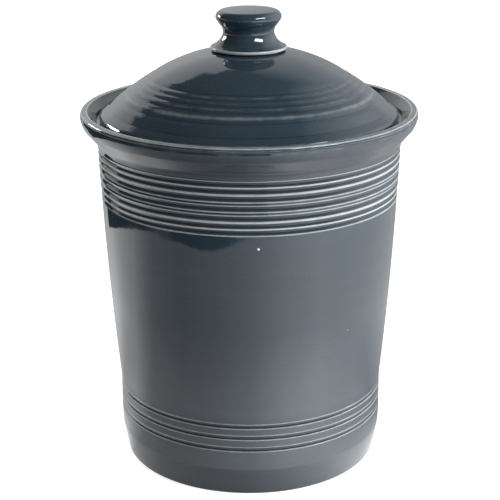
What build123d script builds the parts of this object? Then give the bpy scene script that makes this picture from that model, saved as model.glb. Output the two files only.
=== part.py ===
from build123d import *
import os

os.makedirs("parts", exist_ok=True)

# Round stoneware canister with a lift-off lid. Millimetres, +Z up.
# The origin is the centre of the face that the canister stands on.

# Mouth and rim of the pot
pot_height = 203.0
mouth_radius = 77.5
mouth_round = 1.2
ledge_width = 7.7  # flat ring inside the rim that carries the lid
ledge_depth = 6.5  # from the top of the rim down to the ledge
socket_lean = 3.3  # the socket above the ledge opens outwards by this much
rim_edge = 0.5  # small bevel where the socket meets the top of the rim
lip_width = 5.5
lip_top_inset = 1.5  # flat top of the rim, in from the lip's widest place
lip_side_drop = 3.6
lip_foot_inset = 1.7
lip_foot_drop = 8.0
lip_overhang = 9.4  # lip beyond the body wall
flare_height = 15.5
flare_round = 7.0

# Body of the pot
wall = 7.0
floor_thickness = 8.0
inner_corner = 9.0
inner_inset = 1.5  # thicker wall just above the inner corner
body_taper = 8.5  # narrower above the foot than under the flare
body_belly = 0.9  # how far the tapering wall swells beyond a straight line
body_foot_height = 46.0

# Foot of the pot
foot_band_height = 25.0
foot_band_step = 0.7  # the foot band stands proud of the rings by this much
foot_band_slope = 1.5  # height over which the step slopes
foot_bend_height = 16.7
foot_bend_swell = 0.3
foot_inset = 2.1
foot_lean = 1.5
foot_corner = 3.5
foot_ring_width = 9.0
foot_recess = 2.5

# Rings cut in the wall: pitches are counted outwards from the middle groove
upper_ring_drop = 34.5  # from the top of the rim to the middle groove
upper_ring_pitches = (5.3, 4.2, 3.4)
lower_ring_height = 35.5
lower_ring_pitches = (6.55, 7.55)  # above and below the middle groove
ring_shoulder = 1.6  # from a groove to the plain wall beside it
ring_depth = 0.8
ridge_shape = ((0.2, 0.22), (0.5, 0), (0.8, 0.22))  # share of the pitch, share of the depth

# Lid
lid_clearance = 1.8  # between the edge of the lid and the socket
lid_edge_height = 5.3
lid_edge_round = 1.9
lid_edge_undercut = 1.5
lid_rise = 38.5  # from the ledge to the seat of the knob
lid_shoulder_inset = 29.4  # from the edge of the lid in to the shoulder
lid_shoulder_rise = 24.8
lid_brim_inset = 5.4
lid_brim_rise = 7.4
lid_crown_swell = 1.9
lid_skirt_swell = 0.5
lid_wall = 5.5

# Rings cut in the lid, from the outermost groove inwards
lid_ring_inset = 10.5  # from the edge of the lid to the outermost groove
lid_ring_pitches = (6.0, 4.5, 3.1, 3.3)
lid_ring_shoulder = 2.4
lid_ring_depth = 0.55

# Neck under the lid, and the groove in it for the seal
neck_clearance = 2.0
neck_depth = 13.0
neck_wall = 5.5
neck_web = 3.0  # extra thickness where the neck meets the dome
neck_round = 1.6
seal_groove_drop = 4.0  # from the ledge down to the groove
seal_groove_height = 5.2
seal_groove_depth = 1.6

# Seal ring
seal_fit = 0.1
seal_proud = 0.3  # the band stands out of its groove by this much
fin_gap = 0.3  # between the fins and the mouth
fin_root = 1.2
fin_tip = 0.6
fin_rise = 0.5
fin_pitch = 2.4

# Knob
knob_seat_radius = 18.5
knob_bead_radius = 21.2
knob_bead_width = 1.6
knob_bead_lift = 0.35
knob_bead_height = 2.4
knob_bead_round = 1.0
knob_waist_radius = 14.0
knob_waist_height = 10.5
knob_neck_radius = 16.65
knob_neck_height = 14.9
knob_head_radius = 18.2
knob_head_height = 18.2
knob_rim_inset = 1.3
knob_rim_height = 21.1
knob_height = 22.6

# Places that follow from the sizes above
ledge_height = pot_height - ledge_depth
socket_radius = mouth_radius + ledge_width
socket_top_radius = socket_radius + socket_lean
lip_radius = socket_top_radius + lip_width
body_top_radius = lip_radius - lip_overhang
body_top_height = pot_height - flare_height
body_foot_radius = body_top_radius - body_taper
foot_radius = body_foot_radius - foot_inset
floor_height = foot_recess + floor_thickness
upper_ring_height = pot_height - upper_ring_drop
lid_radius = socket_radius - lid_clearance
knob_seat_height = ledge_height + lid_rise
neck_radius = mouth_radius - neck_clearance
neck_foot = ledge_height - neck_depth
seal_root_radius = neck_radius - seal_groove_depth
seal_groove_top = ledge_height - seal_groove_drop
seal_groove_foot = seal_groove_top - seal_groove_height


def swollen(start, end, swell):
    """Middle point of an arc that stands beyond the straight line from start to end."""
    chord = Vector(*end) - Vector(*start)
    middle = Vector(*start) + chord * 0.5
    outward = Vector(abs(chord.Y), abs(chord.X)).normalized()
    point = middle + outward * swell
    return (point.X, point.Y)


def inside(edge, position, depth):
    """Point at a depth under a profile edge that runs outwards or down."""
    point = edge @ position
    along = edge % position
    return (point.X + along.Y * depth, point.Y - along.X * depth)


def ridged(edge, grooves, shoulder, depth):
    """Profile edge with grooves at shares of its length, and a rounded ridge between each two."""
    start = grooves[0] - shoulder / edge.length
    end = grooves[-1] + shoulder / edge.length
    points = [inside(edge, start, 0), inside(edge, grooves[0], depth)]
    for number in range(1, len(grooves)):
        pitch = grooves[number] - grooves[number - 1]
        for share, drop in ridge_shape:
            points.append(inside(edge, grooves[number - 1] + pitch * share, depth * drop))
        points.append(inside(edge, grooves[number], depth))
    points.append(inside(edge, end, 0))
    add(edge.trim(0, start))
    Polyline(*points)
    add(edge.trim(end, 1))


def knob_point(radius, height):
    """Point of the knob's profile, its height counted from the seat on the lid."""
    return (radius, knob_seat_height + height)


# Pot: one thrown wall from the foot ring up to the flared lip, with a socket for the lid
body_foot = (body_foot_radius, body_foot_height)
body_top = (body_top_radius, body_top_height)
body_middle = swollen(body_top, body_foot, body_belly)
ring_band_foot = (foot_radius + foot_lean - foot_band_step, foot_band_height + foot_band_slope)
foot_band_top = (foot_radius + foot_lean, foot_band_height)
foot_side = (foot_radius, foot_corner)
foot_bend_share = (foot_bend_height - foot_corner) / (foot_band_height - foot_corner)
foot_bend = (foot_radius + foot_lean * foot_bend_share + foot_bend_swell, foot_bend_height)
foot_inside = foot_radius - foot_ring_width
inner_foot = (body_foot_radius - wall - inner_inset, floor_height + inner_corner)
floor_edge = (inner_foot[0] - inner_corner, floor_height)
mouth_side = (mouth_radius, ledge_height - mouth_round)

upper_grooves = [upper_ring_height]
for pitch in upper_ring_pitches:
    upper_grooves = [upper_grooves[0] + pitch, *upper_grooves, upper_grooves[-1] - pitch]
body_length = body_top_height - body_foot_height
upper_shares = [(body_top_height - height) / body_length for height in upper_grooves]

with BuildPart() as pot:
    with BuildSketch(Plane.XZ):
        with BuildLine():
            lip = ThreePointArc(
                (lip_radius - lip_top_inset, pot_height),
                (lip_radius, pot_height - lip_side_drop),
                (lip_radius - lip_foot_inset, pot_height - lip_foot_drop),
            )
            Line(lip @ 1, body_top)
            body_wall = ThreePointArc(body_top, body_middle, body_foot, mode=Mode.PRIVATE)
            ridged(body_wall, upper_shares, ring_shoulder, ring_depth)
            ring_band = Line(body_foot, ring_band_foot)
            Polyline(ring_band_foot, foot_band_top, foot_bend, foot_side)
            RadiusArc(foot_side, (foot_radius - foot_corner, 0), foot_corner)
            Polyline(
                (foot_radius - foot_corner, 0),
                (foot_inside, 0),
                (foot_inside - foot_recess, foot_recess),
                (0, foot_recess),
                (0, floor_height),
                floor_edge,
            )
            RadiusArc(floor_edge, inner_foot, -inner_corner)
            ThreePointArc(inner_foot, (body_middle[0] - wall, body_middle[1]), mouth_side)
            Polyline(
                mouth_side,
                (mouth_radius + mouth_round, ledge_height),
                (socket_radius, ledge_height),
                (socket_top_radius, pot_height - rim_edge),
                lip @ 0,
            )
        make_face()
        flare_corner = vertices().sort_by_distance((*body_top, 0))[0]
        fillet(flare_corner, flare_round)
    revolve(axis=Axis.Z)

    with BuildSketch(Plane.XZ):
        above, below = lower_ring_pitches
        for height in (lower_ring_height + above, lower_ring_height, lower_ring_height - below):
            share = (body_foot_height - height) / (body_foot_height - ring_band_foot[1])
            top = ring_band @ (share - ring_shoulder / ring_band.length)
            bottom = inside(ring_band, share, ring_depth)
            foot = ring_band @ (share + ring_shoulder / ring_band.length)
            Polygon((top.X, top.Y), bottom, (foot.X, foot.Y), align=None)
    revolve(axis=Axis.Z, mode=Mode.SUBTRACT)

# Lid: a ringed dome with a rolled edge, and a neck that hangs into the mouth
lid_seat = (knob_seat_radius, knob_seat_height)
lid_shoulder = (lid_radius - lid_shoulder_inset, ledge_height + lid_shoulder_rise)
lid_brim = (lid_radius - lid_brim_inset, ledge_height + lid_brim_rise)
edge_top = (lid_radius - lid_edge_round, ledge_height + lid_edge_height)
edge_side = (lid_radius, ledge_height + lid_edge_height - lid_edge_round)
edge_foot = (lid_radius - lid_edge_undercut, ledge_height)
neck_inner = neck_radius - neck_wall

lid_grooves = [lid_radius - lid_ring_inset]
for pitch in lid_ring_pitches:
    lid_grooves = [lid_grooves[0] - pitch, *lid_grooves]
skirt_width = lid_brim[0] - lid_shoulder[0]
lid_shares = [(radius - lid_shoulder[0]) / skirt_width for radius in lid_grooves]

with BuildPart() as lid:
    with BuildSketch(Plane.XZ):
        with BuildLine():
            Line((0, knob_seat_height), lid_seat)
            crown_middle = swollen(lid_seat, lid_shoulder, lid_crown_swell)
            crown = ThreePointArc(lid_seat, crown_middle, lid_shoulder)
            skirt_middle = swollen(lid_shoulder, lid_brim, lid_skirt_swell)
            skirt = ThreePointArc(lid_shoulder, skirt_middle, lid_brim, mode=Mode.PRIVATE)
            ridged(skirt, lid_shares, lid_ring_shoulder, lid_ring_depth)
            Line(lid_brim, edge_top)
            edge = TangentArc(edge_side, edge_top, tangent=(0, 1))
            Polyline(
                edge @ 0,
                edge_foot,
                (neck_radius, ledge_height),
                (neck_radius, seal_groove_top),
                (seal_root_radius, seal_groove_top),
                (seal_root_radius, seal_groove_foot),
                (neck_radius, seal_groove_foot),
                (neck_radius, neck_foot + neck_round),
                (neck_radius - neck_round, neck_foot),
                (neck_inner + neck_round, neck_foot),
                (neck_inner, neck_foot + neck_round),
            )
            neck_top = (neck_inner, inside(skirt, 0.8, lid_wall)[1] - neck_web)
            Line((neck_inner, neck_foot + neck_round), neck_top)
            ThreePointArc(neck_top, inside(skirt, 0.45, lid_wall), inside(skirt, 0, lid_wall))
            ThreePointArc(
                inside(skirt, 0, lid_wall),
                inside(crown, 0.5, lid_wall),
                inside(crown, 0, lid_wall),
            )
            Polyline(
                inside(crown, 0, lid_wall),
                (0, knob_seat_height - lid_wall),
                (0, knob_seat_height),
            )
        make_face()
    revolve(axis=Axis.Z)

# Knob: a flat-topped head on a waisted stem, with a bead round its foot
with BuildPart() as lid_knob:
    with BuildSketch(Plane.XZ):
        with BuildLine():
            bead_side = knob_point(knob_bead_radius, knob_bead_height / 2)
            bead_top = knob_point(knob_bead_radius - knob_bead_round, knob_bead_height)
            Polyline(
                knob_point(0, 0),
                knob_point(knob_seat_radius, 0),
                knob_point(knob_bead_radius - knob_bead_width, knob_bead_lift),
                bead_side,
            )
            bead = TangentArc(bead_side, bead_top, tangent=(0, 1))
            waist = knob_point(knob_waist_radius, knob_waist_height)
            TangentArc(waist, bead @ 1, tangent=(0, -1))
            neck_side = knob_point(knob_neck_radius, knob_neck_height)
            TangentArc(waist, neck_side, tangent=(0, 1))
            head = ThreePointArc(
                neck_side,
                knob_point(knob_head_radius, knob_head_height),
                knob_point(knob_head_radius - knob_rim_inset, knob_rim_height),
            )
            TangentArc(knob_point(0, knob_height), head @ 1, tangent=(1, 0))
            Line(knob_point(0, knob_height), knob_point(0, 0))
        make_face()
    revolve(axis=Axis.Z)

# Seal: a rubber band in the groove of the neck, with fins that reach for the mouth
band_radius = neck_radius + seal_proud
fin_radius = mouth_radius - fin_gap
band_foot = seal_groove_foot + seal_fit
band_top = seal_groove_top - seal_fit
band_middle = (band_foot + band_top) / 2

with BuildPart() as lid_seal:
    with BuildSketch(Plane.XZ):
        with BuildLine():
            fin_points = []
            for root in (band_middle - fin_pitch / 2, band_middle + fin_pitch / 2):
                fin_points += [
                    (band_radius, root - fin_root / 2),
                    (fin_radius, root + fin_rise - fin_tip / 2),
                    (fin_radius, root + fin_rise + fin_tip / 2),
                    (band_radius, root + fin_root / 2),
                ]
            Polyline(
                (seal_root_radius + seal_fit, band_foot),
                (band_radius, band_foot),
                *fin_points,
                (band_radius, band_top),
                (seal_root_radius + seal_fit, band_top),
                close=True,
            )
        make_face()
    revolve(axis=Axis.Z)

pot.part.label = "pot"
export_step(pot.part, "parts/pot.step")

lid.part.label = "lid"
export_step(lid.part, "parts/lid.step")

lid_knob.part.label = "lid_knob"
export_step(lid_knob.part, "parts/lid_knob.step")

lid_seal.part.label = "lid_seal"
export_step(lid_seal.part, "parts/lid_seal.step")
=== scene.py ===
import bpy
from math import atan2, cos, degrees, exp, pi, radians, sin, tan
from mathutils import Euler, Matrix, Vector, noise


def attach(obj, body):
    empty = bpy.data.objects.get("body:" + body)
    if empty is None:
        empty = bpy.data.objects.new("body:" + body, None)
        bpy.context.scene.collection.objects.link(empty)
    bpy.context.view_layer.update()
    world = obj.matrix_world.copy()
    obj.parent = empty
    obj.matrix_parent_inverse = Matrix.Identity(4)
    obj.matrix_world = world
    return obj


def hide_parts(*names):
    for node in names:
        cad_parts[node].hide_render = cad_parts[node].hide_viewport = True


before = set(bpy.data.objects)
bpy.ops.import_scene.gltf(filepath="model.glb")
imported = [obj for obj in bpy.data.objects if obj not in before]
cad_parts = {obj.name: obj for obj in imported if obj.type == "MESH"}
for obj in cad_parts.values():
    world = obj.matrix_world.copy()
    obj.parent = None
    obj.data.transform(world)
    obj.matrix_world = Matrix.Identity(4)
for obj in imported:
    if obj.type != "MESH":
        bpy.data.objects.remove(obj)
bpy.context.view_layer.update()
print("stage: frame loaded")

mm = 0.001  # outlines are drawn in millimetres, Blender works in metres
weldGap = 0.002  # millimetres: points nearer than this are merged
smoothAngle = 50  # degrees: sharper edges stay sharp


# Outlines: half of a piece's section, from the axis or the rim round its skin

def runPoints(start, end, spacing, swell):
    # evenly spaced points after start, up to and with end, bowed out to the left by swell
    run = end - start
    count = max(1, round(run.length / spacing))
    side = Vector((-run.y, run.x)).normalized()
    points = []
    for number in range(1, count + 1):
        share = number / count
        points.append(start + run * share + side * (4 * swell * share * (1 - share)))
    return points


def cornerPoints(before, corner, after, rounding):
    # points round a corner, on an arc that touches both runs
    back = (before - corner).normalized()
    ahead = (after - corner).normalized()
    turn = pi - back.angle(ahead)
    if not rounding or turn < 0.01:
        return [corner]
    shortest = min((before - corner).length, (after - corner).length)
    reach = min(rounding * tan(turn / 2), 0.49 * shortest)  # less than half of either run
    radius = reach / tan(turn / 2)
    centre = corner + (back + ahead).normalized() * (radius / cos(turn / 2))
    first = corner + back * reach - centre
    count = max(3, round(degrees(turn) / 11))  # a point for every 11 degrees or so
    way = 1 if back.cross(ahead) < 0 else -1
    points = []
    for number in range(count + 1):
        angle = way * turn * number / count
        across = first.x * cos(angle) - first.y * sin(angle)
        up = first.x * sin(angle) + first.y * cos(angle)
        points.append(centre + Vector((across, up)))
    return points


def drawOutline(corners):
    # a corner is radius, height and rounding, then the spacing of the points and the swell
    # of the run that follows it
    places = [Vector(corner[:2]) for corner in corners]
    points = [places[0]]
    for index in range(1, len(corners)):
        spacing, swell = corners[index - 1][3:]
        bend = [places[index]]
        if index + 1 < len(corners):
            bend = cornerPoints(places[index - 1], places[index], places[index + 1], corners[index][2])
        points += runPoints(points[-1], bend[0], spacing, swell)
        points += bend[1:]
    return points


def ringDepth(place, rings):
    # 1 at the bottom of a groove, 0 where the tool has left the wall as it was
    nearest = min(abs(place - groove) for groove in rings["grooves"])
    return max(0, 1 - nearest / rings["reach"]) ** rings["sharpness"]


def pressRings(points, rings, axis):
    # sinks the grooves below the outline; axis 0 places them by radius, axis 1 by height
    sunk = [points[0]]
    for before, point, after in zip(points, points[1:], points[2:]):
        depth = rings["depth"] * ringDepth(point[axis], rings)
        run = (after - before).normalized()
        sunk.append(point + Vector((run.y, -run.x)) * depth)
    return sunk + [points[-1]]


# Pieces: an outline is extruded point by point, then spun round the axis

def spinPiece(name, outline, sides):
    bpy.ops.object.select_all(action="DESELECT")
    start = outline[0]
    bpy.ops.mesh.primitive_plane_add(size=mm, location=(start.x * mm, 0, start.y * mm))
    piece = bpy.context.object
    piece.name = name
    piece.data.name = name
    bpy.ops.object.transform_apply(location=True, rotation=True, scale=True)
    bpy.ops.object.mode_set(mode="EDIT")
    bpy.ops.mesh.select_mode(type="VERT")
    bpy.ops.mesh.select_all(action="SELECT")
    bpy.ops.mesh.merge(type="CENTER")
    for before, after in zip(outline, outline[1:]):
        step = (after - before) * mm
        bpy.ops.mesh.extrude_region_move(TRANSFORM_OT_translate={"value": (step.x, 0, step.y)})
    bpy.ops.mesh.select_all(action="SELECT")
    bpy.ops.mesh.spin(steps=sides, angle=2 * pi, center=(0, 0, 0), axis=(0, 0, 1))
    bpy.ops.mesh.select_all(action="SELECT")
    bpy.ops.mesh.remove_doubles(threshold=weldGap * mm)
    bpy.ops.mesh.normals_make_consistent(inside=False)
    bpy.ops.object.mode_set(mode="OBJECT")
    bpy.ops.object.shade_smooth_by_angle(angle=radians(smoothAngle))
    return piece


def paintAttribute(piece, name, values, outline):
    # gives each point of the mesh the value of the nearest point of the outline
    layer = piece.data.attributes.new(name, "FLOAT", "POINT")
    cells = {}
    for value, place in zip(values, outline):
        cells.setdefault((round(place.x), round(place.y)), []).append((place, value))
    known = {}
    for vertex in piece.data.vertices:
        place = Vector((Vector(vertex.co[:2]).length, vertex.co.z)) / mm
        key = (round(place.x, 2), round(place.y, 2))
        if key not in known:
            near = []
            for across in (-1, 0, 1):
                for up in (-1, 0, 1):
                    near += cells.get((round(place.x) + across, round(place.y) + up), [])
            known[key] = min(near, key=lambda entry: (entry[0] - place).length_squared)[1]
        layer.data[vertex.index].value = known[key]


def bendAlong(outline, reach):
    # how sharply the outline turns at each point, in degrees: positive on edges, negative in grooves
    lengths = [0]
    for before, after in zip(outline, outline[1:]):
        lengths.append(lengths[-1] + (after - before).length)

    def placeAt(length, index):
        while index > 0 and lengths[index] > length:
            index -= 1
        while index + 2 < len(lengths) and lengths[index + 1] < length:
            index += 1
        share = (length - lengths[index]) / (lengths[index + 1] - lengths[index])
        return outline[index].lerp(outline[index + 1], min(max(share, 0), 1))

    bends = []
    for index, point in enumerate(outline):
        before = point - placeAt(lengths[index] - reach, index)
        after = placeAt(lengths[index] + reach, min(index, len(lengths) - 2)) - point
        if before.length < 1e-6 or after.length < 1e-6:
            bends.append(0)
        else:
            bends.append(degrees(before.angle_signed(after)))
    return bends


def glazeCoatAndPaintedLight(outline, glaze):
    # 0 where the glaze has run thinner over an edge, 1 where it has gathered, 0.5 on plain walls; the same
    # values also place a painted highlight on edges and painted shade in grooves;
    # coat rings are radius, half width and how much thinner the glaze is set there (less than 0 is
    # thicker); on the lid they paint light lines on the ring crests, partly thinner glaze and partly
    # painted highlight
    thickness = []
    for point, bend in zip(outline, bendAlong(outline, glaze["reach"])):
        share = (bend / glaze["thinAndHighlightAt"]) ** 2 if bend > 0 else bend / glaze["pooledAndShadeAt"]
        coat = 0.5 - 0.5 * share / (1 + abs(share))
        for radius, halfWidth, loss in glaze["coatRings"]:
            coat -= loss * exp(-((point.x - radius) / halfWidth) ** 2)
        thickness.append(max(0, coat))
    return thickness


def finishCeramic(piece, outline, body, node, glaze, bare):
    # bare gives the stretch that the potter left unglazed
    # the coat values also place the painted highlight on edges and the painted shade in grooves
    paintAttribute(piece, "glazeCoatAndPaintedLight", glazeCoatAndPaintedLight(outline, glaze), outline)
    bareValues = [1.0 if bare(place) else 0.0 for place in outline]
    paintAttribute(piece, "bareClay", bareValues, outline)
    piece.data.materials.clear()
    piece.data.materials.append(slateGlaze)
    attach(piece, body)
    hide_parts(node)


# Shader node groups

def newGroup(name, inputs, outputs):
    group = bpy.data.node_groups.new(name, "ShaderNodeTree")
    for socketName, kind, value in inputs:
        socket = group.interface.new_socket(socketName, in_out="INPUT", socket_type=kind)
        socket.default_value = value
    for socketName, kind in outputs:
        group.interface.new_socket(socketName, in_out="OUTPUT", socket_type=kind)
    return group, group.nodes.new("NodeGroupInput"), group.nodes.new("NodeGroupOutput")


def fillSocket(tree, socket, value):
    if isinstance(value, bpy.types.NodeSocket):
        tree.links.new(value, socket)
    else:
        socket.default_value = value


def addNode(tree, kind, settings=None, **inputs):
    # adds a node, sets its options, and fills its sockets with values or links; a socket is called
    # by its name, or by an underscore and its number
    node = tree.nodes.new(kind)
    for option, value in (settings or {}).items():
        setattr(node, option, value)
    for socketName, value in inputs.items():
        number = socketName[1:]
        fillSocket(tree, node.inputs[int(number) if number.isdigit() else socketName], value)
    return node


def mathNode(tree, operation, first, second=0.0, clamp=False):
    settings = {"operation": operation, "use_clamp": clamp}
    return addNode(tree, "ShaderNodeMath", settings, _0=first, _1=second).outputs[0]


def vectorNode(tree, operation, **inputs):
    return addNode(tree, "ShaderNodeVectorMath", {"operation": operation}, **inputs).outputs


def mixColours(tree, share, first, second):
    settings = {"data_type": "RGBA", "blend_type": "MIX"}
    return addNode(tree, "ShaderNodeMix", settings, _0=share, _6=first, _7=second).outputs[2]


def mixValues(tree, share, first, second):
    return addNode(tree, "ShaderNodeMix", {"data_type": "FLOAT"}, _0=share, _2=first, _3=second).outputs[0]


def noiseField(tree, place, scale, detail=2.0, roughness=0.5):
    node = addNode(tree, "ShaderNodeTexNoise", None,
                   Vector=place, Scale=scale, Detail=detail, Roughness=roughness)
    return node.outputs["Fac"]


def remap(tree, value, low, high, toLow=0.0, toHigh=1.0):
    node = addNode(tree, "ShaderNodeMapRange", {"clamp": True},
                   _0=value, _1=low, _2=high, _3=toLow, _4=toHigh)
    return node.outputs[0]


def spreadNoise(tree, field, low, high):
    # noise keeps near a half, so its middle is spread over the whole range
    return remap(tree, field, 0.3, 0.7, low, high)


def buildSpeckGroup():
    # scattered round dots: mask of their spots, from 0 to 1
    inputs = [("Place", "NodeSocketVector", (0, 0, 0)), ("Scale", "NodeSocketFloat", 200.0),
              ("Size", "NodeSocketFloat", 0.2), ("Share", "NodeSocketFloat", 0.1)]
    group, given, result = newGroup("scatteredSpecks", inputs, [("Mask", "NodeSocketFloat")])
    cells = addNode(group, "ShaderNodeTexVoronoi", {"feature": "F1"},
                    Vector=given.outputs["Place"], Scale=given.outputs["Scale"])
    settings = {"clamp": True, "interpolation_type": "SMOOTHSTEP"}
    dot = addNode(group, "ShaderNodeMapRange", settings, _0=cells.outputs["Distance"],
                  _1=given.outputs["Size"], _2=0.0, _3=0.0, _4=1.0).outputs[0]
    lot = addNode(group, "ShaderNodeSeparateColor", None, _0=cells.outputs["Color"]).outputs[0]
    chosen = mathNode(group, "LESS_THAN", lot, given.outputs["Share"])
    group.links.new(mathNode(group, "MULTIPLY", dot, chosen), result.inputs["Mask"])
    return group


def buildRippleGroup():
    # slow waves and a fine skin on a surface that was poured or sprayed: a height from 0 to 1
    inputs = [("Place", "NodeSocketVector", (0, 0, 0)), ("Wave Scale", "NodeSocketFloat", 40.0),
              ("Skin Scale", "NodeSocketFloat", 500.0), ("Skin Share", "NodeSocketFloat", 0.1)]
    group, given, result = newGroup("rippledSkin", inputs, [("Height", "NodeSocketFloat")])
    wave = noiseField(group, given.outputs["Place"], given.outputs["Wave Scale"], 1.0)
    skin = noiseField(group, given.outputs["Place"], given.outputs["Skin Scale"], 2.0)
    skinHeight = mathNode(group, "MULTIPLY", skin, given.outputs["Skin Share"])
    group.links.new(mathNode(group, "ADD", wave, skinHeight), result.inputs["Height"])
    return group


scatteredSpecks = buildSpeckGroup()
rippledSkin = buildRippleGroup()


def newMaterial(name):
    material = bpy.data.materials.new(name)
    material.use_nodes = True
    tree = material.node_tree
    tree.nodes.clear()
    shader = tree.nodes.new("ShaderNodeBsdfPrincipled")
    output = tree.nodes.new("ShaderNodeOutputMaterial")
    tree.links.new(shader.outputs[0], output.inputs["Surface"])
    place = tree.nodes.new("ShaderNodeTexCoord").outputs["Object"]
    return material, tree, shader, place


def placeGroup(tree, group, **inputs):
    node = tree.nodes.new("ShaderNodeGroup")
    node.node_tree = group
    for socketName, value in inputs.items():
        fillSocket(tree, node.inputs[socketName.replace("_", " ")], value)
    return node.outputs[0]


def addBump(tree, shader, height, depth):
    bump = addNode(tree, "ShaderNodeBump", None, Height=height, Distance=depth, Strength=1.0)
    tree.links.new(bump.outputs[0], shader.inputs["Normal"])


glazeLook = {
    "body": (0.0155, 0.0265, 0.0375, 1),
    # the light edge colour is thinner glaze and a painted highlight in one; the dark groove colour is
    # gathered glaze and painted shade in one
    "thinGlazeAndHighlight": (0.31, 0.34, 0.34, 1),
    "pooled": (0.005, 0.008, 0.012, 1),
    "thinAndHighlightCoat": (0.42, 0.12),  # between these coats the lighter edge colour comes in, thinner glaze and painted highlight in one
    "pooledCoat": (0.56, 0.86),
    "brokenEdge": 0.03,  # how far noise shifts the edge between two colours
    "clouding": 0.14,  # how much the colour drifts over a hand's width
    "mottle": 0.12,  # how much it varies over a millimetre or two
    "streak": 0.05,  # faint level streaks from the wheel
    "specks": {"Scale": 260.0, "Size": 0.16, "Share": 0.10},  # iron in the glaze
    "speckColour": (0.008, 0.009, 0.012, 1),
    "pinholes": {"Scale": 95.0, "Size": 0.045, "Share": 0.05},  # they let the pale clay show
    "pinholeColour": (0.42, 0.42, 0.40, 1),
    "pinholeDepth": 0.4,
    "clay": (0.52, 0.44, 0.36, 1),
    "darkClay": (0.36, 0.29, 0.23, 1),
    "clayRoughness": 0.85,
    "gritDepth": 0.5,
    "fleckPlace": (0.0045, -0.0826, 0.1468),  # one white fleck on the front of the pot
    "fleckSize": 0.0009,
    "fleckColour": (0.75, 0.76, 0.76, 1),
    # how fine the noise is behind each
    "grain": {"edge": 120.0, "cloud": 14.0, "mottle": 700.0, "gloss": 60.0, "grit": 900.0},
    "wheel": (6.0, 6.0, 240.0),  # stretches noise into level streaks
    "roughness": (0.03, 0.06),
    "ior": 1.52,
    "ripple": {"Wave_Scale": 36.0, "Skin_Scale": 520.0, "Skin_Share": 0.012},
    "rippleDepth": 0.00022,
}


def makeSlateGlaze(look):
    material, tree, shader, place = newMaterial("slateGlaze")
    thickness = addNode(tree, "ShaderNodeAttribute", {"attribute_name": "glazeCoatAndPaintedLight"}).outputs["Fac"]
    bare = addNode(tree, "ShaderNodeAttribute", {"attribute_name": "bareClay"}).outputs["Fac"]

    # the colour follows the thickness of the glaze, with an edge that noise breaks up; the light edge
    # colour also paints a highlight, the dark groove colour also paints shade
    frayed = noiseField(tree, place, look["grain"]["edge"], 3.0)
    broken = spreadNoise(tree, frayed, -look["brokenEdge"], look["brokenEdge"])
    coat = mathNode(tree, "ADD", thickness, broken, True)
    thinAndHighlightShare = remap(tree, coat, *look["thinAndHighlightCoat"])
    pooledAndShadeShare = remap(tree, coat, *look["pooledCoat"])
    colour = mixColours(tree, thinAndHighlightShare, look["body"], look["thinGlazeAndHighlight"])
    colour = mixColours(tree, pooledAndShadeShare, colour, look["pooled"])

    # clouding, mottle and streaks darken or lighten it a little
    flat = addNode(tree, "ShaderNodeMapping", None, Vector=place, Scale=look["wheel"]).outputs[0]
    drift = 1.0
    for strength, field in ((look["clouding"], noiseField(tree, place, look["grain"]["cloud"], 3.0)),
                            (look["mottle"], noiseField(tree, place, look["grain"]["mottle"], 4.0, 0.7)),
                            (look["streak"], noiseField(tree, flat, 1.0, 3.0))):
        drift = mathNode(tree, "MULTIPLY", spreadNoise(tree, field, 1 - strength, 1 + strength), drift)
    colour = vectorNode(tree, "SCALE", Vector=colour, Scale=drift)[0]

    # specks and pinholes, and the one fleck
    specks = placeGroup(tree, scatteredSpecks, Place=place, **look["specks"])
    pinholes = placeGroup(tree, scatteredSpecks, Place=place, **look["pinholes"])
    colour = mixColours(tree, specks, colour, look["speckColour"])
    colour = mixColours(tree, pinholes, colour, look["pinholeColour"])
    gap = vectorNode(tree, "DISTANCE", _0=place, _1=look["fleckPlace"])["Value"]
    fleck = remap(tree, gap, look["fleckSize"], look["fleckSize"] * 0.5)
    colour = mixColours(tree, fleck, colour, look["fleckColour"])

    # unglazed clay
    grit = noiseField(tree, place, look["grain"]["grit"], 5.0, 0.7)
    clay = mixColours(tree, remap(tree, grit, 0.35, 0.65), look["darkClay"], look["clay"])
    colour = mixColours(tree, bare, colour, clay)
    tree.links.new(colour, shader.inputs["Base Color"])

    glossy = spreadNoise(tree, noiseField(tree, place, look["grain"]["gloss"], 3.0), *look["roughness"])
    matt = mathNode(tree, "MULTIPLY", bare, look["clayRoughness"])
    tree.links.new(mathNode(tree, "MAXIMUM", glossy, matt), shader.inputs["Roughness"])
    shader.inputs["IOR"].default_value = look["ior"]

    ripple = placeGroup(tree, rippledSkin, Place=place, **look["ripple"])
    dents = mathNode(tree, "SUBTRACT", ripple, mathNode(tree, "MULTIPLY", pinholes, look["pinholeDepth"]))
    bareGrit = mathNode(tree, "MULTIPLY", mathNode(tree, "MULTIPLY", bare, grit), look["gritDepth"])
    addBump(tree, shader, mathNode(tree, "ADD", dents, bareGrit), look["rippleDepth"])
    return material


siliconeLook = {
    "body": (0.34, 0.35, 0.34, 1),
    "dust": (0.55, 0.54, 0.51, 1),
    "dustSpecks": {"Scale": 420.0, "Size": 0.2, "Share": 0.16},
    "dustCover": 0.6,
    "grain": {"cloud": 35.0, "gloss": 160.0},
    "cloud": (0.92, 1.08),  # darkest and lightest share of its colour
    "roughness": (0.36, 0.52),
    "ior": 1.41,
    "skin": {"Wave_Scale": 60.0, "Skin_Scale": 900.0, "Skin_Share": 0.2},
    "skinDepth": 0.00008,
}


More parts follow.
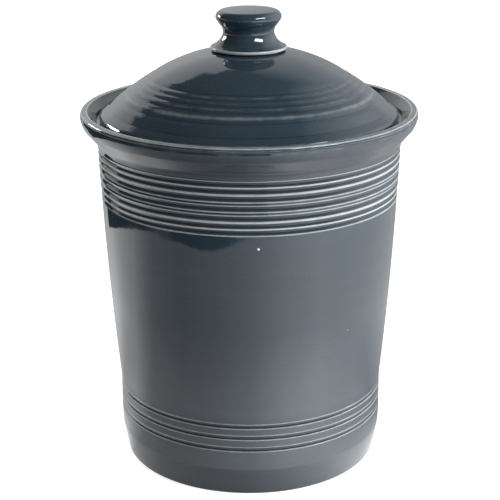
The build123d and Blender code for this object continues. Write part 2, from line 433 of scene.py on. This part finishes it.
def makeSilicone(look):
    material, tree, shader, place = newMaterial("siliconeSeal")
    cloud = remap(tree, noiseField(tree, place, look["grain"]["cloud"], 3.0), 0.35, 0.65, *look["cloud"])
    colour = vectorNode(tree, "SCALE", Vector=look["body"][:3], Scale=cloud)[0]
    dust = placeGroup(tree, scatteredSpecks, Place=place, **look["dustSpecks"])
    colour = mixColours(tree, mathNode(tree, "MULTIPLY", dust, look["dustCover"]), colour, look["dust"])
    tree.links.new(colour, shader.inputs["Base Color"])
    coatRings = spreadNoise(tree, noiseField(tree, place, look["grain"]["gloss"], 3.0), *look["roughness"])
    tree.links.new(coatRings, shader.inputs["Roughness"])
    shader.inputs["IOR"].default_value = look["ior"]
    skin = placeGroup(tree, rippledSkin, Place=place, **look["skin"])
    addBump(tree, shader, skin, look["skinDepth"])
    return material


slateGlaze = makeSlateGlaze(glazeLook)
siliconeSeal = makeSilicone(siliconeLook)
print("stage: materials ready")

# Pot
pot = {
    # heights
    "rim": 203.0,
    "ledge": 196.5,
    "mouthFoot": 184.5,
    "floor": 10.5,
    # inside, from the lip down: a number is a radius, a pair is radius and height
    "lipTop": 91.6,
    "socketTop": 89.9,
    "socketFoot": 84.8,
    "mouth": 77.5,
    "insideBend": (68.25, 22.5),
    "insideBelly": -0.9,  # bows outwards too, because this run goes upwards
    "insideFoot": 67.65,
    "insideCorner": 9.0,
    # outside, from the lip down
    "lipEdge": (93.2, 202.55),
    "lipSide": (94.0, 199.6),
    "lipFoot": (92.3, 194.8),
    "collar": (85.4, 186.7),
    "ringsTop": (84.75, 183.8),
    "ringsFoot": (83.35, 152.6),
    "belly": 0.7,  # how far the tapering wall bows outwards
    "bodyFoot": (75.8, 46.0),
    "footBand": (75.9, 25.0),
    "footBend": (75.6, 16.7),
    "footSide": (72.7, 0.0),
    "restingFace": (68.2, 0.0),
    "ringInside": (63.7, 0.0),
    "recess": (61.2, 2.5),
    "bareRing": (60.0, 71.0),  # the stretch that has no glaze, and up to what height
    "bareHeight": 0.7,
    "upperRings": {"grooves": (155.6, 159.0, 163.2, 168.5, 173.8, 178.0, 181.4),
                   "reach": 1.75, "depth": 0.85, "sharpness": 1.0},
    "lowerRings": {"grooves": (28.9, 35.8, 42.4), "reach": 1.3, "depth": 0.54, "sharpness": 1.1},
    "sides": 192,
}

potInside = drawOutline([
    (0, pot["floor"], 0, 9, 0),
    (pot["insideFoot"], pot["floor"], pot["insideCorner"], 6, 0),
    (*pot["insideBend"], 4, 6, pot["insideBelly"]),
    (pot["mouth"], pot["mouthFoot"], 4, 2.5, 0),
    (pot["mouth"], pot["ledge"], 1.2, 1.2, 0),
    (pot["socketFoot"], pot["ledge"], 0.7, 0.6, 0.25),
    (pot["socketTop"], pot["rim"], 1.3, 0.6, 0),
    (pot["lipTop"], pot["rim"], 0, 0.6, 0),
])
potOutside = drawOutline([
    (pot["lipTop"], pot["rim"], 0, 0.6, 0),
    (*pot["lipEdge"], 1.3, 0.4, 0.1),
    (*pot["lipSide"], 3.5, 0.5, 0.1),
    (*pot["lipFoot"], 4.0, 0.7, 0),
    (*pot["collar"], 5.0, 0.6, 0),
    (*pot["ringsTop"], 0, 0.35, 0.1),
    (*pot["ringsFoot"], 0, 4.0, pot["belly"]),
    (*pot["bodyFoot"], 0, 0.4, 0),
    (*pot["footBand"], 0, 1.0, 0),
    (*pot["footBend"], 12.0, 2.0, 0),
    (*pot["footSide"], 3.5, 1.0, 0),
    (*pot["restingFace"], 0.4, 0.8, 0),
    (*pot["ringInside"], 0.6, 0.8, 0),
    (*pot["recess"], 1.2, 8, 0),
    (0, pot["recess"][1], 0, 8, 0),
])
potOutside = pressRings(potOutside, pot["upperRings"], 1)
potOutside = pressRings(potOutside, pot["lowerRings"], 1)
potOutline = potInside + potOutside[1:]
glazeOnPot = {
    "reach": 0.6,
    "thinAndHighlightAt": 15.0,
    "pooledAndShadeAt": 26.0,
    # coat set thicker, so darker, round the lip and near the foot
    "coatRings": ((93.4, 1.8, -0.1), (71.6, 1.9, -0.2)),
}


def potBare(place):
    # the face that the pot stands on is wiped clean before it is fired
    inner, outer = pot["bareRing"]
    return place.y < pot["bareHeight"] and inner < place.x < outer


potPiece = spinPiece("canisterPot", potOutline, pot["sides"])
finishCeramic(potPiece, potOutline, "pot", "pot", glazeOnPot, potBare)
print("stage: pot", len(potPiece.data.polygons))

# Lid
lid = {
    # the dome, from the knob's seat down
    "seat": (18.5, 235.0),
    "crownSwell": 1.9,
    "shoulder": (54.0, 221.6),
    "skirtSwell": 0.75,
    "brim": (78.0, 203.9),
    "edgeTop": (81.7, 201.6),
    "edgeSide": (83.4, 199.75),
    "edgeFoot": 82.7,
    "flange": 196.55,
    # the neck with the seal's groove, and the hollow under the dome
    "neckRadius": 75.5,
    "grooveRadius": 73.9,
    "grooveTop": 192.5,
    "grooveFoot": 187.3,
    "neckFoot": 183.5,
    "neckInside": 70.0,
    "neckRoot": 199.2,
    "hollowSide": (50.5, 216.8),
    "hollowSwell": -1.4,
    "hollowTop": (18.0, 229.4),
    "hollowMiddle": 229.5,
    "bareHeight": 0.9,  # how far up from its foot the neck has no glaze
    "rings": {"grooves": (54.9, 58.4, 61.7, 65.5, 71.1), "reach": 2.8, "depth": 0.32, "sharpness": 1.7},
    "sides": 192,
}

lidTop = drawOutline([
    (0, lid["seat"][1], 0, 4, 0),
    (*lid["seat"], 2.0, 1.6, lid["crownSwell"]),
    (*lid["shoulder"], 0, 0.45, lid["skirtSwell"]),
    (*lid["brim"], 7.0, 0.6, 0),
    (*lid["edgeTop"], 1.6, 0.4, 0.15),
    (*lid["edgeSide"], 1.8, 0.5, 0.1),
    (lid["edgeFoot"], lid["flange"], 1.3, 0.6, 0),
    (lid["neckRadius"], lid["flange"], 0, 0.6, 0),
])
lidTop = pressRings(lidTop, lid["rings"], 0)
lidUnder = drawOutline([
    (lid["neckRadius"], lid["flange"], 0, 0.8, 0),
    (lid["neckRadius"], lid["grooveTop"], 0.25, 0.8, 0),
    (lid["grooveRadius"], lid["grooveTop"], 0.3, 0.8, 0),
    (lid["grooveRadius"], lid["grooveFoot"], 0.3, 0.8, 0),
    (lid["neckRadius"], lid["grooveFoot"], 0.25, 0.8, 0),
    (lid["neckRadius"], lid["neckFoot"], 1.6, 0.8, 0),
    (lid["neckInside"], lid["neckFoot"], 1.6, 1.5, 0),
    (lid["neckInside"], lid["neckRoot"], 6.0, 2.0, 0),
    (*lid["hollowSide"], 12.0, 3.0, lid["hollowSwell"]),
    (*lid["hollowTop"], 6.0, 3.0, 0),
    (0, lid["hollowMiddle"], 0, 3.0, 0),
])
lidOutline = lidTop + lidUnder[1:]
glazeOnLid = {
    "reach": 0.8,
    "thinAndHighlightAt": 40.0,
    "pooledAndShadeAt": 14.0,
    # thinner coat on the ring crests: painted light lines, partly thinner glaze and partly painted
    # highlight
    "coatRings": ((56.8, 0.8, 0.07), (60.1, 0.7, 0.06), (63.7, 1.0, 0.08), (68.3, 1.6, 0.13), (72.9, 1.0, 0.07)),
}


def lidBare(place):
    # the end of the neck is wiped clean too, and the seal's groove keeps its glaze
    return place.y < lid["neckFoot"] + lid["bareHeight"]


lidPiece = spinPiece("canisterLid", lidOutline, lid["sides"])
finishCeramic(lidPiece, lidOutline, "lid", "lid", glazeOnLid, lidBare)
print("stage: lid", len(lidPiece.data.polygons))

# Knob
knob = {
    "top": 257.58,
    "headEdge": (16.4, 256.68),
    "headSide": (18.8, 253.2),
    "waistTop": (14.7, 247.6),
    "waist": (13.8, 244.6),
    "waistFoot": (15.9, 240.2),
    "beadTop": (19.8, 237.5),
    "beadSide": (21.25, 236.9),
    "beadFoot": (21.0, 235.55),
    "seat": (18.5, 235.02),
    "sides": 128,
}

knobOutline = drawOutline([
    (0, knob["top"], 0, 2.0, 0.25),
    (*knob["headEdge"], 5.0, 0.6, 0.15),
    (*knob["headSide"], 3.6, 0.5, 0.1),
    (*knob["waistTop"], 2.4, 0.6, 0),
    (*knob["waist"], 4.5, 0.6, 0),
    (*knob["waistFoot"], 7.0, 0.6, -0.1),
    (*knob["beadTop"], 1.2, 0.4, 0.05),
    (*knob["beadSide"], 0.7, 0.3, 0),
    (*knob["beadFoot"], 0.7, 0.3, 0),
    (*knob["seat"], 0.3, 0.8, 0),
    (0, knob["seat"][1], 0, 3.0, 0),
])
glazeOnKnob = {"reach": 0.7, "thinAndHighlightAt": 34.0, "pooledAndShadeAt": 34.0, "coatRings": ()}

knobPiece = spinPiece("lidKnob", knobOutline, knob["sides"])
finishCeramic(knobPiece, knobOutline, "lid", "lid_knob", glazeOnKnob, lambda place: False)
print("stage: knob", len(knobPiece.data.polygons))

# Seal
seal = {
    "rootRadius": 74.0,
    "bandRadius": 75.8,
    "finRadius": 77.2,
    "bandFoot": 187.4,
    "bandTop": 192.4,
    "finPitch": 2.4,
    "finRoot": 1.2,
    "finTip": 0.6,
    "finRise": 0.5,
    "sides": 160,
}


def sealCorners(look):
    middle = (look["bandFoot"] + look["bandTop"]) / 2
    corners = [
        (look["rootRadius"], middle, 0, 0.8, 0),
        (look["rootRadius"], look["bandTop"], 0.25, 0.6, 0),
        (look["bandRadius"], look["bandTop"], 0.3, 0.5, 0),
    ]
    for root in (middle + look["finPitch"] / 2, middle - look["finPitch"] / 2):
        corners += [
            (look["bandRadius"], root + look["finRoot"] / 2, 0.25, 0.4, 0),
            (look["finRadius"], root + look["finRise"] + look["finTip"] / 2, 0.25, 0.3, 0),
            (look["finRadius"], root + look["finRise"] - look["finTip"] / 2, 0.25, 0.4, 0),
            (look["bandRadius"], root - look["finRoot"] / 2, 0.25, 0.4, 0),
        ]
    corners += [
        (look["bandRadius"], look["bandFoot"], 0.3, 0.6, 0),
        (look["rootRadius"], look["bandFoot"], 0.25, 0.8, 0),
        (look["rootRadius"], middle, 0, 0.8, 0),
    ]
    return corners


sealPiece = spinPiece("lidSeal", drawOutline(sealCorners(seal)), seal["sides"])
sealPiece.data.materials.clear()
sealPiece.data.materials.append(siliconeSeal)
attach(sealPiece, "seal")
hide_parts("lid_seal")
print("stage: seal", len(sealPiece.data.polygons))

# Camera, as the photograph was taken
camera = {
    "place": (0.0001, -0.7820, 0.3827),
    "pitch": 18.67,
    "roll": -0.32,
    "lens": 103.25,
    "sensor": 36,
}

bpy.ops.object.camera_add(location=camera["place"])
cameraObject = bpy.context.object
cameraObject.name = "photoCamera"
tilt = Euler((radians(90 - camera["pitch"]), 0, 0)).to_matrix()
cameraObject.rotation_euler = (tilt @ Euler((0, 0, radians(camera["roll"]))).to_matrix()).to_euler()
cameraObject.data.lens = camera["lens"]
cameraObject.data.sensor_width = camera["sensor"]
cameraObject.data.clip_start = 0.01
bpy.context.scene.camera = cameraObject

# Studio: azimuth is counted from the camera's side, right is positive
# a lamp's place is azimuth, elevation and distance; a glossy one is mirrored in the glaze
lamps = [
    {"name": "frontWindow", "place": (49, 42, 1.5), "size": (0.8, 0.28), "radiance": 23, "glossy": True},
    {"name": "leftStrip", "place": (-127, 17.5, 1.5), "size": (0.5, 0.22), "radiance": 20, "glossy": True},
    {"name": "keyLamp", "place": (70, 15, 1.6), "size": (0.6, 0.6), "radiance": 35, "glossy": False},
    {"name": "leftFill", "place": (-50, 15, 1.6), "size": (0.6, 0.6), "radiance": 5, "glossy": False},
    {"name": "backLamp", "place": (-155, 40, 1.6), "size": (0.6, 0.6), "radiance": 11, "glossy": False},
]
studio = {
    "floorSize": 16,
    "floorColour": (0.55, 0.55, 0.55, 1),
    # near and far; only camera and glass rays see the glow, so the floor reads as white
    "glow": (0.82, 0.95),
    "glowReach": (0.35, 1.2),
    # how bright the glaze mirrors the floor's painted glow, a painted pool of light, by azimuth
    "mirroredFloor": (
        (-180, 0.4), (-150, 0.65), (-125, 1.5), (-95, 1.6), (-75, 0.82), (-50, 0.68), (-25, 0.88),
        (0, 1.25), (25, 2.2), (50, 2.8), (80, 2.25), (125, 1.05), (150, 0.5), (180, 0.4)),
    "mirroredFoot": (0.95, -0.8),  # the share that it gains near the foot, in front and behind
    "footDepth": (-0.12, 0.05),  # where in front ends and where behind begins
    "footTilt": 0.15,  # how far the line between them is turned
    "footReach": (0.09, 0.25),  # how far from the axis that gain is whole, and where it ends
    "footShade": 0.95,  # the share left right at the foot, a painted shadow in that glow
    "footShadeReach": (0.072, 0.084),
    "steepRays": (0.6, 0.85),  # sine of the ray's slope: from here to there the floor dims
    "steepShare": 0.65,
    "fill": 0.088,  # what the room adds to every matt surface
    # the white wall behind: its brightness, where it begins and how softly, left and right
    "backRoom": (1.12, 0.8),
    "wallFoot": (0.38, 0.15),
    "wallEdge": (0.05, 0.27),
    "wallTear": 0.16,  # how ragged its foot is on the left
    "wallTearScale": 9.0,
    "wallFade": (0.8, 0.5),  # where it begins to dim, and the share left straight behind
    "wallLean": -0.35,
    "leftToRight": (-0.12, 0.12),
    "rightPanel": 1.6,
    "rightPanelPlace": (108, 22),
    "rightPanelSpread": (48, 15),  # degrees from its centre: none beyond the first, whole within the second
    "darkRoom": 0.11,
}
darkCard = {
    "centre": (-0.02, 0.02, 0),
    "distance": 0.41,
    "height": 0.17,
    # its torn lower edge: azimuth and height over the floor
    "edge": ((-136, 0.0), (-98, 0.005), (-67, 0.0075), (-50, 0.0055), (-32, 0.0004), (-20, 0.004),
             (-9, 0.0125), (14, 0.0195)),
    "tear": 0.0016,
    "tearPitch": 3,  # degrees
    "steps": 75,
    "colour": (0.01, 0.01, 0.01, 1),
    "roughness": 0.9,
}


def directionTo(azimuth, elevation):
    turn = radians(azimuth)
    rise = radians(elevation)
    return Vector((sin(turn) * cos(rise), -cos(turn) * cos(rise), sin(rise)))


lampAim = Vector((0, 0, 0.13))  # the middle of the canister


def addLamp(look):
    azimuth, elevation, distance = look["place"]
    direction = directionTo(azimuth, elevation)
    bpy.ops.object.light_add(type="AREA", location=lampAim + direction * distance)
    lamp = bpy.context.object
    lamp.name = look["name"]
    lamp.rotation_euler = direction.to_track_quat("Z", "Y").to_euler()
    lamp.data.shape = "RECTANGLE"
    lamp.data.size, lamp.data.size_y = look["size"]
    lamp.data.energy = look["radiance"] * pi * look["size"][0] * look["size"][1]
    lamp.visible_camera = False
    lamp.visible_glossy = look["glossy"]


for look in lamps:
    addLamp(look)


def edgeHeight(look, azimuth):
    height = look["edge"][-1][1]
    for (left, low), (right, high) in zip(look["edge"], look["edge"][1:]):
        if azimuth <= right:
            height = low + (high - low) * max(0, azimuth - left) / (right - left)
            break
    return max(0, height + look["tear"] * noise.noise(Vector((azimuth / look["tearPitch"], 0, 0))))


def addDarkCard(look):
    # black card that stands to the left of the camera and is seen only in the glaze
    bpy.ops.object.select_all(action="DESELECT")
    bpy.ops.mesh.primitive_plane_add(size=mm, location=(0, 0, 0))
    card = bpy.context.object
    card.name = "darkCard"
    bpy.ops.object.mode_set(mode="EDIT")
    bpy.ops.mesh.select_all(action="SELECT")
    bpy.ops.mesh.merge(type="CENTER")
    leftEnd = look["edge"][0][0]
    rightEnd = look["edge"][-1][0]
    centre = Vector(look["centre"])
    bpy.ops.transform.translate(value=centre + directionTo(leftEnd, 0) * look["distance"])
    bpy.ops.mesh.extrude_region_move(TRANSFORM_OT_translate={"value": (0, 0, look["height"])})
    bpy.ops.mesh.select_all(action="SELECT")
    bpy.ops.mesh.spin(steps=look["steps"], angle=radians(leftEnd - rightEnd), center=centre, axis=(0, 0, 1))
    bpy.ops.object.mode_set(mode="OBJECT")
    for vertex in card.data.vertices:
        reach = vertex.co - centre
        if reach.z < look["height"] / 2:
            vertex.co.z = edgeHeight(look, degrees(atan2(reach.x, -reach.y)))
    card.visible_camera = False
    card.visible_shadow = False
    card.visible_diffuse = False
    card.visible_transmission = False
    material = bpy.data.materials.new("blackCard")
    material.use_nodes = True
    shader = material.node_tree.nodes["Principled BSDF"]
    shader.inputs["Base Color"].default_value = look["colour"]
    shader.inputs["Roughness"].default_value = look["roughness"]
    card.data.materials.append(material)


addDarkCard(darkCard)


def turnRamp(tree, azimuth, stops):
    # a value by azimuth, from stops of degrees and brightness
    brightest = max(brightness for turn, brightness in stops)
    ramp = tree.nodes.new("ShaderNodeValToRGB")
    tree.links.new(remap(tree, azimuth, -pi, pi), ramp.inputs[0])
    marks = ramp.color_ramp.elements
    while len(marks) < len(stops):
        marks.new(0.5)
    for mark, (turn, brightness) in zip(marks, stops):
        mark.position = (turn + 180) / 360
        mark.color = (*[brightness / brightest] * 3, 1)
    return mathNode(tree, "MULTIPLY", ramp.outputs["Color"], brightest)


def makeFloor(look):
    bpy.ops.mesh.primitive_plane_add(size=look["floorSize"], location=(0, 0, 0))
    floor = bpy.context.object
    floor.name = "studioFloor"
    material = bpy.data.materials.new("paleFloor")
    material.use_nodes = True
    tree = material.node_tree
    tree.nodes.clear()
    path = tree.nodes.new("ShaderNodeLightPath")
    black = (0, 0, 0, 1)
    colour = mixColours(tree, path.outputs["Is Glossy Ray"], look["floorColour"], black)
    matt = addNode(tree, "ShaderNodeBsdfDiffuse", None, Color=colour)
    place = tree.nodes.new("ShaderNodeTexCoord").outputs["Object"]
    away = vectorNode(tree, "LENGTH", _0=place)["Value"]
    plain = remap(tree, away, *look["glowReach"], *look["glow"])
    glass = mathNode(tree, "MAXIMUM", path.outputs["Is Camera Ray"], path.outputs["Is Transmission Ray"])
    plain = mathNode(tree, "MULTIPLY", plain, glass)

    # the painted pool of light as the glaze mirrors it, a glow that only glossy rays see: brightest on the
    # side of the window, with painted shade near the foot
    parts = addNode(tree, "ShaderNodeSeparateXYZ", None, Vector=place)
    forward = mathNode(tree, "MULTIPLY", parts.outputs["Y"], -1.0)
    azimuth = mathNode(tree, "ARCTAN2", parts.outputs["X"], forward)
    incoming = tree.nodes.new("ShaderNodeNewGeometry").outputs["Incoming"]
    slope = addNode(tree, "ShaderNodeSeparateXYZ", None, Vector=incoming).outputs["Z"]
    turned = mathNode(tree, "MULTIPLY", parts.outputs["X"], look["footTilt"])
    depth = mathNode(tree, "ADD", parts.outputs["Y"], turned)
    gain = mathNode(tree, "MULTIPLY", remap(tree, depth, *look["footDepth"], *look["mirroredFoot"]),
                    remap(tree, away, *look["footReach"], 1.0, 0.0))
    gain = mathNode(tree, "MULTIPLY", gain, remap(tree, slope, *look["steepRays"], 1.0, 0.0))
    mirrored = turnRamp(tree, azimuth, look["mirroredFloor"])
    for share in (remap(tree, slope, *look["steepRays"], 1.0, look["steepShare"]),
                  remap(tree, away, *look["footShadeReach"], look["footShade"], 1.0),
                  mathNode(tree, "ADD", gain, 1.0),
                  path.outputs["Is Glossy Ray"]):
        mirrored = mathNode(tree, "MULTIPLY", mirrored, share)
    glow = addNode(tree, "ShaderNodeEmission", None, Strength=mathNode(tree, "ADD", plain, mirrored))
    both = addNode(tree, "ShaderNodeAddShader", None, _0=matt.outputs[0], _1=glow.outputs[0])
    output = tree.nodes.new("ShaderNodeOutputMaterial")
    tree.links.new(both.outputs[0], output.inputs["Surface"])
    floor.data.materials.append(material)


def makeWorld(look):
    world = bpy.data.worlds.new("studioWorld")
    bpy.context.scene.world = world
    world.use_nodes = True
    tree = world.node_tree
    tree.nodes.clear()
    direction = tree.nodes.new("ShaderNodeTexCoord").outputs["Generated"]
    parts = addNode(tree, "ShaderNodeSeparateXYZ", None, Vector=direction)
    path = tree.nodes.new("ShaderNodeLightPath")

    # the camera sees plain white; all other rays see a white back wall, a soft panel and a dark room
    side = remap(tree, parts.outputs["X"], *look["leftToRight"])
    lowered = mathNode(tree, "MULTIPLY", parts.outputs["Z"], look["wallLean"])
    behind = mathNode(tree, "ADD", parts.outputs["Y"], lowered)
    ragged = noiseField(tree, direction, look["wallTearScale"], 4.0, 0.6)
    tear = remap(tree, ragged, 0.25, 0.75, -look["wallTear"] / 2, look["wallTear"] / 2)
    tear = mathNode(tree, "MULTIPLY", tear, mathNode(tree, "SUBTRACT", 1.0, side))
    torn = mathNode(tree, "ADD", behind, tear)
    foot = remap(tree, side, 0.0, 1.0, *look["wallFoot"])
    edge = remap(tree, side, 0.0, 1.0, *look["wallEdge"])
    backWall = mathNode(tree, "DIVIDE", mathNode(tree, "SUBTRACT", torn, foot), edge, True)
    backWall = mathNode(tree, "MULTIPLY", backWall, remap(tree, side, 0.0, 1.0, *look["backRoom"]))
    fadeFrom, fadeShare = look["wallFade"]
    backWall = mathNode(tree, "MULTIPLY", backWall, remap(tree, behind, fadeFrom, 1.0, 1.0, fadeShare))
    panelPlace = directionTo(*look["rightPanelPlace"])
    towards = vectorNode(tree, "DOT_PRODUCT", _0=direction, _1=panelPlace)["Value"]
    outer, inner = look["rightPanelSpread"]
    panel = remap(tree, towards, cos(radians(outer)), cos(radians(inner)), 0.0, look["rightPanel"])
    room = mathNode(tree, "MAXIMUM", mathNode(tree, "MAXIMUM", backWall, panel), look["darkRoom"])
    white = mathNode(tree, "MAXIMUM", path.outputs["Is Camera Ray"], path.outputs["Is Transmission Ray"])
    room = mixValues(tree, path.outputs["Is Diffuse Ray"], room, look["fill"])
    strength = mixValues(tree, white, room, 1.0)
    background = addNode(tree, "ShaderNodeBackground", None, Color=(1, 1, 1, 1), Strength=strength)
    output = tree.nodes.new("ShaderNodeOutputWorld")
    tree.links.new(background.outputs[0], output.inputs["Surface"])


makeFloor(studio)
makeWorld(studio)
bpy.context.scene.view_settings.view_transform = "Standard"
print("stage: studio ready")
